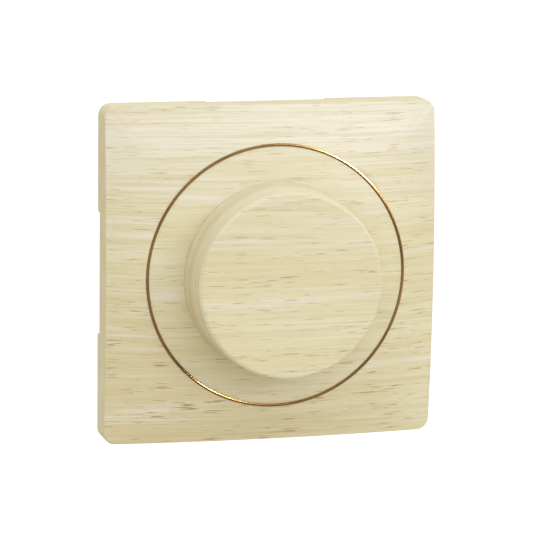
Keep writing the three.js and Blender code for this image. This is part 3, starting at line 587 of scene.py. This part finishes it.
def slotted_screw(node, head_at_front, shank_r, head_r, head_high):
    """A cheese-head screw as long as its CAD node, with a rounded slotted head and a helical thread."""
    slot_half = 0.4
    slot_depth = 0.9
    low, high = box_mm(node)
    x, z = (low.x + high.x) / 2, (low.z + high.z) / 2
    tip, top = (high.y, low.y) if head_at_front else (low.y, high.y)
    way = 1 if head_at_front else -1
    under = top + way * head_high
    profile, _ = rounded([(0, top), (head_r, top), (head_r, under), (0, under)], 0.35, 4)
    head = turned(f"{node}_threaded", profile, ["steel"], sides=48, centre=(x, z))
    across = head_r + PAST
    near, far = sorted((top - way * PAST, top + way * slot_depth))
    groove = block(x - across, x + across, near, far, z - slot_half, z + slot_half)
    combine(head, [groove], "DIFFERENCE")
    near, far = sorted((under - way * BITE, tip))
    return combine(head, [threaded_bar(shank_r, near, far, x, z)], "UNION")


def turn_about_y(piece, degrees):
    """Turns the piece's mesh about the Y axis."""
    piece.data.transform(Matrix.Rotation(math.radians(degrees), 4, "Y"))
    return piece


def combine(piece, tools, operation):
    """Joins tools to the piece or cuts them from it, and leaves a plain mesh."""
    for tool in tools:
        step = piece.modifiers.new("combine", "BOOLEAN")
        step.operation = operation
        step.solver = "EXACT"
        step.material_mode = "INDEX"
        step.object = tool
    graph = bpy.context.evaluated_depsgraph_get()
    made = bpy.data.meshes.new_from_object(piece.evaluated_get(graph))
    piece.modifiers.clear()
    piece.data = made
    for tool in tools:
        bpy.data.objects.remove(tool)
    tidy(made)
    return piece


def settle(piece, body, slot, *nodes):
    """The piece rides on body and stands for nodes; slot is not used."""
    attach(piece, body)
    if nodes:
        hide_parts(*nodes)
    return piece


# ---------------------------------------------------------------- cover plate
def outline(inset):
    """Points (x, z) round the plate's outline, moved inwards by inset."""
    half = PLATE_HALF - inset
    radius = max(PLATE_CORNER - inset, 0.6)
    straight = half - radius
    quarter = [(half, straight * (2 * k / SIDE_STEPS - 1)) for k in range(SIDE_STEPS)]
    for k in range(CORNER_STEPS):
        a = math.pi / 2 * k / CORNER_STEPS
        quarter.append((straight + radius * math.cos(a), straight + radius * math.sin(a)))
    made = list(quarter)
    for _ in range(3):
        quarter = [(-z, x) for x, z in quarter]
        made += quarter
    return made


def edge_y(x, z):
    """Where the front face ends, a little nearer the wall towards the corners."""
    along = min(abs(x), abs(z)) / PLATE_HALF
    return PLATE_EDGE_Y + PLATE_CORNER_FALL * along**2


def face_row(t, behind, opening_r):
    """A ring on the plate's face: t is 0 at the round opening and 1 at the square edge."""
    inner_y = PLATE_INNER_Y + behind
    fall = (1 - PLATE_CONVEX) * t + PLATE_CONVEX * t * t
    row = []
    for x, z in outline(PLATE_WALL if behind else PLATE_ROUND):
        reach = math.hypot(x, z)
        r = opening_r + (reach - opening_r) * t
        y = inner_y + (edge_y(x, z) + behind - inner_y) * fall
        row.append((x / reach * r, y, z / reach * r))
    return row


def make_cover_plate():
    """A hollow plate whose face falls from the round opening to the square edge."""
    opening_r = RING_OUTER + SEAM
    rows = []
    row_looks = []

    def add(row, look):
        rows.append(row)
        row_looks.append(look)

    add([(x, y + PLATE_LIP, z) for x, y, z in face_row(0, 0, opening_r)], 0)
    face_steps = 16
    face_width = 12.0  # from the opening to the edge, roughly
    lip_t = PLATE_LIP / face_width
    for k in range(face_steps + 1):
        add(face_row(lip_t + (1 - lip_t) * k / face_steps, 0, opening_r), 0)
    round_steps = 6
    wood_steps = 2  # the wood skin ends on the way round the edge
    for k in range(1, round_steps + 1):
        a = math.pi / 2 * k / round_steps
        inset = PLATE_ROUND * (1 - math.sin(a))
        drop = PLATE_ROUND * (1 - math.cos(a))
        add([(x, edge_y(x, z) + drop, z) for x, z in outline(inset)], 0 if k <= wood_steps else 1)
    for inset, y in ((0, -BACK_CHAMFER), (BACK_CHAMFER, 0), (PLATE_WALL, 0)):
        add([(x, y, z) for x, z in outline(inset)], 1)
    for t in (1, 0.5, 0):
        add(face_row(t, PLATE_WALL, opening_r), 1)
    plate = loft("cover_plate_shell", rows, row_looks, ["plate_wood", "tan_plastic"])

    legs = []
    notches = []
    leg_front = PLATE_EDGE_Y + 1.2
    leg_back = -0.6
    leg_outer = LEG_INNER + LEG_THICK
    notch_floor = PLATE_HALF - NOTCH_INTO_WALL
    half = NOTCH_LENGTH / 2
    for side in range(4):
        for x in (-LEG_X, LEG_X):
            leg = block(x - LEG_HALF, x + LEG_HALF, leg_front, leg_back, LEG_INNER, leg_outer, 1)
            legs.append(turn_about_y(leg, 90 * side))
        notch = block(-half, half, -NOTCH_DEPTH, PAST, notch_floor, PLATE_HALF + PAST, 1)
        notches.append(turn_about_y(notch, 90 * side))
    combine(plate, legs, "UNION")
    combine(plate, notches, "DIFFERENCE")
    return settle(plate, "root", "wood_finish", "cover_plate")


# ---------------------------------------------------------------- ring, disc and knob
def make_trim_ring():
    """A thin shallow bead in front, on a flat foot that reaches inwards behind the disc."""
    foot_inner = RING_INNER - GAP - 1.6
    foot_front = RING_BACK_Y - RING_FOOT
    bead_r = 0.55
    half = (RING_OUTER - RING_INNER) / 2
    spread = math.degrees(math.asin(half / bead_r))
    bead = arc(RING_INNER + half, RING_TOP_Y + bead_r, bead_r, 90 + spread, 90 - spread, 12)
    foot = [
        (RING_OUTER, RING_BACK_Y),
        (foot_inner, RING_BACK_Y),
        (foot_inner, foot_front),
        (RING_INNER, foot_front),
    ]
    profile, _ = rounded(bead + foot, 0.16, 4, skip=range(len(bead)))
    ring = turned("trim_ring_band", profile, ["copper_trim"])
    return settle(ring, "root", "copper_trim", "trim_ring")


def flank_radius(y):
    """Radius of the knob's tapered flank at y."""
    rim_y = KNOB_FRONT_Y + KNOB_ROUND
    return KNOB_RIM_R + (KNOB_BASE_R - KNOB_RIM_R) * (y - rim_y) / (SKIRT_BACK_Y - rim_y)


def make_centre_disc():
    """A domed disc that dips into a well under the knob, with a boss and two pegs behind."""
    bore_r = BUSH_R + GAP
    floor_back = WELL_FLOOR_Y + FLOOR_THICK
    rim_back = RING_Y + 1.4
    lip_r = flank_radius(DISC_INNER_Y) + DISC_SEAM
    face_steps = 14
    face = []
    for k in range(face_steps + 1):
        t = k / face_steps
        r = DISC_R + (lip_r - DISC_R) * t
        face.append((r, RING_Y + 0.1 + (DISC_INNER_Y - RING_Y) * math.sin(t * math.pi / 2)))
    back = [
        (lip_r, DISC_INNER_Y + DISC_LIP),
        (WELL_R, DISC_INNER_Y + 3 * DISC_LIP),
        (WELL_R, WELL_FLOOR_Y),
        (bore_r, WELL_FLOOR_Y),
        (bore_r, CASE_FRONT_Y - GAP),
        (BOSS_R, CASE_FRONT_Y - GAP),
        (BOSS_R, floor_back),
        (WELL_R + WELL_WALL, floor_back),
        (WELL_R + WELL_WALL, rim_back),
        (DISC_R, rim_back),
    ]
    profile, source = rounded(face + back, 0.04, 3, skip=range(1, face_steps))
    looks = [0 if s <= len(face) else 1 for s in source]
    disc = turned("centre_disc_dish", profile, ["disc_wood", "tan_plastic"], looks)
    peg_end = CASE_FRONT_Y + 1.6
    pegs = [bar(PEG_R, floor_back - BITE, peg_end, x, 0, 32, 1) for x in (-PEG_X, PEG_X)]
    combine(disc, pegs, "UNION")
    return settle(disc, "root", "wood_finish", "centre_disc")


def make_knob():
    """A hollow tapered cap with a slightly crowned face, six ribs and a hub with a flatted bore."""
    ceiling = KNOB_FRONT_Y + KNOB_FACE_THICK
    inside_r = KNOB_RIM_R - KNOB_WALL
    rim_y = KNOB_FRONT_Y + KNOB_ROUND
    face_r = KNOB_RIM_R - KNOB_ROUND
    face_steps = 10
    face = []
    for k in range(face_steps):
        t = k / face_steps
        face.append((face_r * t, KNOB_FRONT_Y - KNOB_CROWN * (1 - t**2)))
    rim_steps = 10
    rim = arc(face_r, rim_y, KNOB_ROUND, 90, 0, rim_steps)
    shell = [
        (KNOB_BASE_R, SKIRT_BACK_Y),
        (KNOB_BASE_R - KNOB_WALL, SKIRT_BACK_Y),
        (inside_r, ceiling),
        (0, ceiling),
    ]
    first_back = len(face) + len(rim)
    profile, source = rounded(face + rim + shell, 0.25, 3, skip=range(first_back))
    flank_from = len(face) + rim_steps // 2
    looks = [0 if s < flank_from else 1 if s < first_back else 2 for s in source]
    names = ["knob_wood", "knob_flank_wood", "tan_plastic"]
    knob = turned("knob_cap", profile, names, looks)
    inside_face = ceiling - 0.2
    hub = bar(HUB_R, inside_face, HUB_BACK_Y, sides=64, look=2)
    rib_half = 0.6
    ribs = [
        turn_about_y(block(-inside_r, inside_r, inside_face, ceiling + 3, -rib_half, rib_half, 2), degrees)
        for degrees in (0, 60, 120)
    ]
    combine(knob, [hub, *ribs], "UNION")
    bore_r = SPINDLE_R + GAP
    bore = bar(bore_r, ceiling, HUB_BACK_Y + PAST, sides=48, look=2)
    flat = SPINDLE_FLAT + CLIP_ROOM
    across = bore_r + PAST
    off_cut = block(-across, across, ceiling - PAST, HUB_BACK_Y + 2 * PAST, flat, across, 2)
    combine(bore, [off_cut], "DIFFERENCE")
    combine(knob, [bore], "DIFFERENCE")
    return settle(knob, "dial", "wood_finish", "knob")


# ---------------------------------------------------------------- screws, spring, choke and fuse
def make_screws():
    """The two claw screws, turned from the front, and the three terminal screws, turned from behind."""
    for side in ("left", "right"):
        node = f"claw_screw_{side}"
        screw = slotted_screw(node, True, shank_r=1.45, head_r=2.8, head_high=1.8)
        settle(screw, f"{side}_claw_screw", "steel", node)
    for number in (1, 2, 3):
        node = f"terminal_screw_{number}"
        screw = slotted_screw(node, False, shank_r=1.5, head_r=2.3, head_high=2.0)
        settle(screw, "root", "steel", node)


def make_return_spring():
    """A helical spring, built at its rest length; in the real dimmer it shortens from the front as the
    knob is pressed.
    """
    low, high = box_mm("return_spring")
    wire_r = 0.25
    coil_r = high.x - wire_r
    turns = 4
    steps = 36
    closed_share = 0.12  # the end coils lie flat
    path = []
    for i in range(turns * steps + 1):
        t = i / (turns * steps)
        rise = min(max((t - closed_share) / (1 - 2 * closed_share), 0), 1)
        y = low.y + wire_r + (high.y - low.y - 2 * wire_r) * rise
        a = 2 * math.pi * turns * t
        path.append((coil_r * math.cos(a), y, coil_r * math.sin(a)))
    drawn_r = wire_r * 0.96
    spring = swept("return_spring_coil", path, drawn_r, ["spring_steel"])
    settle(spring, "root", "steel", "return_spring")
    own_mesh(spring)


def make_choke():
    """A ring-shaped ferrite core with copper wire wound round it."""
    low, high = box_mm("choke_coil")
    centre = (low + high) / 2
    minor = (high.y - low.y) / 2
    major = (high.x - low.x) / 2 - minor
    wire_r = 0.3
    core_r = minor - 2 * wire_r
    wind_r = minor - wire_r
    sides = 24
    core = []
    for k in range(sides):
        a = 2 * math.pi * k / sides
        core.append((major + core_r * math.cos(a), centre.y + core_r * math.sin(a)))
    core_ring = turned("choke_core", core, ["ferrite"], sides=96, centre=(centre.x, centre.z))
    settle(core_ring, "root", "black_plastic", "choke_coil")
    winds = 34
    steps = 20
    path = []
    for i in range(winds * steps):
        around = 2 * math.pi * i / (winds * steps)
        a = 2 * math.pi * i / steps
        r = major + wind_r * math.cos(a)
        y = centre.y + wind_r * math.sin(a)
        path.append((centre.x + r * math.cos(around), y, centre.z + r * math.sin(around)))
    wire = swept("choke_winding", path, wire_r, ["copper_wire"], closed=True, sides=8)
    settle(wire, "root", "copper_wire", "choke_coil")


def make_fuse():
    """A ceramic tube with a rolled metal cap on each end, lying along X."""
    low, high = box_mm("fuse_link")
    centre = (low + high) / 2
    outer = (high.y - low.y) / 2
    half = (high.x - low.x) / 2
    cap = 4.2
    wall = 0.25

    def lie(piece):
        piece.data.transform(Matrix.Rotation(math.pi / 2, 4, "Z"))
        piece.data.transform(Matrix.Translation(Vector((centre.x, centre.y, centre.z)) * MM))
        return piece

    tube_r = outer - wall
    tube_end = half - wall
    profile = [(0, -tube_end), (tube_r, -tube_end), (tube_r, tube_end), (0, tube_end)]
    tube = turned("fuse_tube", profile, ["ceramic"], sides=48)
    settle(lie(tube), "root", "ceramic", "fuse_link")
    for side, word in ((-1, "left"), (1, "right")):
        near, far = sorted((side * half, side * (half - cap)))
        profile, _ = rounded([(0, near), (outer, near), (outer, far), (0, far)], 0.4, 4)
        made = lie(turned(f"fuse_cap_{word}", profile, ["tinned"], sides=48))
        settle(made, "root", "tinned_metal", "fuse_link")


# ---------------------------------------------------------------- CAD nodes that stay
def soften(node, width):
    """Merges a node's flat triangles and rounds its edges, without changing its mesh."""
    merge = node.modifiers.new("merge", "DECIMATE")
    merge.decimate_type = "DISSOLVE"
    merge.angle_limit = math.radians(1)
    edges = node.modifiers.new("edges", "BEVEL")
    edges.width = width * MM
    edges.segments = 2
    edges.limit_method = "ANGLE"
    edges.angle_limit = math.radians(40)
    edges.use_clamp_overlap = True
    edges.harden_normals = True


def carry_over(node_name, look, width):
    """Gives a CAD node its material and softened edges."""
    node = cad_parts[node_name]
    node.data.materials.clear()
    node.data.materials.append(LOOKS[look])
    node.data.shade_smooth()
    node.data.set_sharp_from_angle(angle=math.radians(32))
    soften(node, width)


# Each CAD node that stays, with its look and the width of its rounded edges.
STAYS = {
    "knob_clip": ("spring_steel", 0.12),
    "spindle": ("brass", 0.2),
    "bush_nut": ("brass", 0.25),
    "bush_washer": ("steel", 0.15),
    "threaded_bush": ("brass", 0.2),
    "potentiometer_shell": ("tinned", 0.25),
    "resistance_track": ("black_plastic", 0.1),
    "wiper_rotor": ("white_plastic", 0.15),
    "wiper_brush": ("brass", 0.1),
    "switch_case": ("black_plastic", 0.2),
    "switch_plunger": ("white_plastic", 0.2),
    "contact_bridge": ("brass", 0.1),
    "fixed_contact_left": ("brass", 0.1),
    "fixed_contact_right": ("brass", 0.1),
    "support_frame": ("steel", 0.18),
    "module_case": ("grey_plastic", 0.25),
    "rear_cover": ("white_plastic", 0.22),
    "circuit_board": ("board_green", 0.1),
    "film_capacitor": ("ochre_resin", 0.5),
    "electrolytic_capacitor": ("black_plastic", 0.3),
    "control_chip": ("black_plastic", 0.15),
    "heat_sink": ("aluminium", 0.15),
    "power_transistor_left": ("black_plastic", 0.12),
    "power_transistor_right": ("black_plastic", 0.12),
    "fuse_clip_left": ("tinned", 0.1),
    "fuse_clip_right": ("tinned", 0.1),
    "terminal_block": ("white_plastic", 0.2),
    "claw_left": ("steel", 0.2),
    "claw_right": ("steel", 0.2),
    "claw_pin_left": ("steel", 0.15),
    "claw_pin_right": ("steel", 0.15),
}
for number in (1, 2, 3):
    STAYS[f"terminal_clamp_{number}"] = ("tinned", 0.15)
for number in (1, 2, 3, 4):
    STAYS[f"frame_rivet_{number}"] = ("brass", 0.2)

make_cover_plate()
trim_ring = make_trim_ring()
make_centre_disc()
make_knob()
make_screws()
make_return_spring()
make_choke()
make_fuse()
for node_name, (look, width) in STAYS.items():
    carry_over(node_name, look, width)


# ---------------------------------------------------------------- floor, light and camera
def make_floor():
    """A pale floor well below the object, which throws no light on it."""
    size = 20.0
    drop = 0.30
    z = cad_box[0].z - drop
    g = Graph("floor_white")
    cloud = g.noise(g.times(g.place(), (0.004, 0.004, 0.004)), detail=2.0)
    colour = g.blend(g.step(cloud, 0.3, 0.7), (0.94, 0.94, 0.94, 1), (0.95, 0.95, 0.95, 1))
    g.finish(Base_Color=colour, Roughness=0.9, Specular_IOR_Level=0.0)
    g.finish(Emission_Color=(1, 1, 1, 1), Emission_Strength=0.12)
    mesh = bpy.data.meshes.new("floor")
    corners = [(-size, -size, z), (size, -size, z), (size, size, z), (-size, size, z)]
    mesh.from_pydata(corners, [], [(0, 1, 2, 3)])
    mesh.materials.append(g.material)
    floor = bpy.data.objects.new("floor", mesh)
    floor.visible_diffuse = False
    floor.visible_glossy = False
    bpy.context.scene.collection.objects.link(floor)


def make_light(name, source, strength, softness, colour, only=None, glossy=True):
    """A soft distant light that comes from direction source, on everything or only on one piece.

    With glossy off it lights the object but makes no highlight.
    """
    data = bpy.data.lights.new(name, "SUN")
    data.energy = strength
    data.color = colour
    data.angle = math.radians(softness)
    lamp = bpy.data.objects.new(name, data)
    lamp.visible_glossy = glossy
    lamp.rotation_mode = "QUATERNION"
    lamp.rotation_quaternion = Vector(source).to_track_quat("Z", "Y")
    if only:
        lit = bpy.data.collections.new(f"{name}_falls_on")
        lit.objects.link(only)
        lamp.light_linking.receiver_collection = lit
    bpy.context.scene.collection.objects.link(lamp)


def make_world(below, level):
    """White behind the object, and on it a light that grows from below through level to white above."""
    world = bpy.data.worlds.new("studio")
    bpy.context.scene.world = world
    world.use_nodes = True
    tree = world.node_tree
    tree.nodes.clear()
    seen = tree.nodes.new("ShaderNodeBackground")
    seen.inputs["Color"].default_value = (1, 1, 1, 1)
    light = tree.nodes.new("ShaderNodeBackground")
    ramp = tree.nodes.new("ShaderNodeValToRGB")
    stops = ramp.color_ramp.elements
    stops[0].color = (*below, 1)
    stops.new(0.5).color = (*level, 1)
    parts = tree.nodes.new("ShaderNodeSeparateXYZ")
    height = tree.nodes.new("ShaderNodeMapRange")
    height.inputs["From Min"].default_value = -1.0
    tree.links.new(tree.nodes.new("ShaderNodeTexCoord").outputs["Generated"], parts.inputs[0])
    tree.links.new(parts.outputs["Z"], height.inputs["Value"])
    tree.links.new(height.outputs[0], ramp.inputs[0])
    tree.links.new(ramp.outputs["Color"], light.inputs["Color"])
    path = tree.nodes.new("ShaderNodeLightPath")
    mix = tree.nodes.new("ShaderNodeMixShader")
    out = tree.nodes.new("ShaderNodeOutputWorld")
    tree.links.new(path.outputs["Is Camera Ray"], mix.inputs[0])
    tree.links.new(light.outputs[0], mix.inputs[1])
    tree.links.new(seen.outputs[0], mix.inputs[2])
    tree.links.new(mix.outputs[0], out.inputs["Surface"])


def make_camera():
    """A long lens that looks at the front a little from the left and from above."""
    azimuth = math.radians(-15.38)
    elevation = math.radians(10.35)
    roll = math.radians(0.718)
    distance = 833.6
    focal_pixels = 3334.0
    shift_pixels = (3.62, -2.52)
    target = Vector((0, -8.87, 0))
    back = Vector(
        (
            math.sin(azimuth) * math.cos(elevation),
            -math.cos(azimuth) * math.cos(elevation),
            math.sin(elevation),
        )
    )
    level_right = Vector((math.cos(azimuth), math.sin(azimuth), 0))
    level_up = back.cross(level_right)
    right = level_right * math.cos(roll) + level_up * math.sin(roll)
    up = level_up * math.cos(roll) - level_right * math.sin(roll)
    data = bpy.data.cameras.new("camera")
    data.sensor_width = SENSOR
    data.lens = focal_pixels * SENSOR / IMAGE_SIDE
    data.shift_x = shift_pixels[0] / IMAGE_SIDE
    data.shift_y = shift_pixels[1] / IMAGE_SIDE
    data.clip_start = 0.05
    data.clip_end = 100
    camera = bpy.data.objects.new("camera", data)
    turn = Matrix((right, up, back)).transposed().to_4x4()
    camera.matrix_world = Matrix.Translation((target + back * distance) * MM) @ turn
    bpy.context.scene.collection.objects.link(camera)
    bpy.context.scene.camera = camera


make_floor()
make_world((0.68, 0.62, 0.50), (0.74, 0.705, 0.67))
make_light("key", (0.2, -0.76, 0.62), 0.56, 40, (0.93, 1.0, 1.14), glossy=False)
make_light("sheen", (-0.05, -0.60, 0.80), 0.08, 30, (0.8, 0.95, 1.3))
make_light("window", (-0.38, -0.55, 0.74), 0.14, 14, (0.95, 1.0, 1.08))
make_light("side", (0.55, -0.76, 0.34), 0.42, 12, (0.97, 1.0, 1.04))
# Only the ring catches the glint, at its upper right and lower left.
make_light("glint", (0.60, -0.74, 0.30), 9.0, 12, (0.9, 0.97, 1.0), trim_ring)
make_camera()
bpy.context.scene.view_settings.view_transform = "Standard"
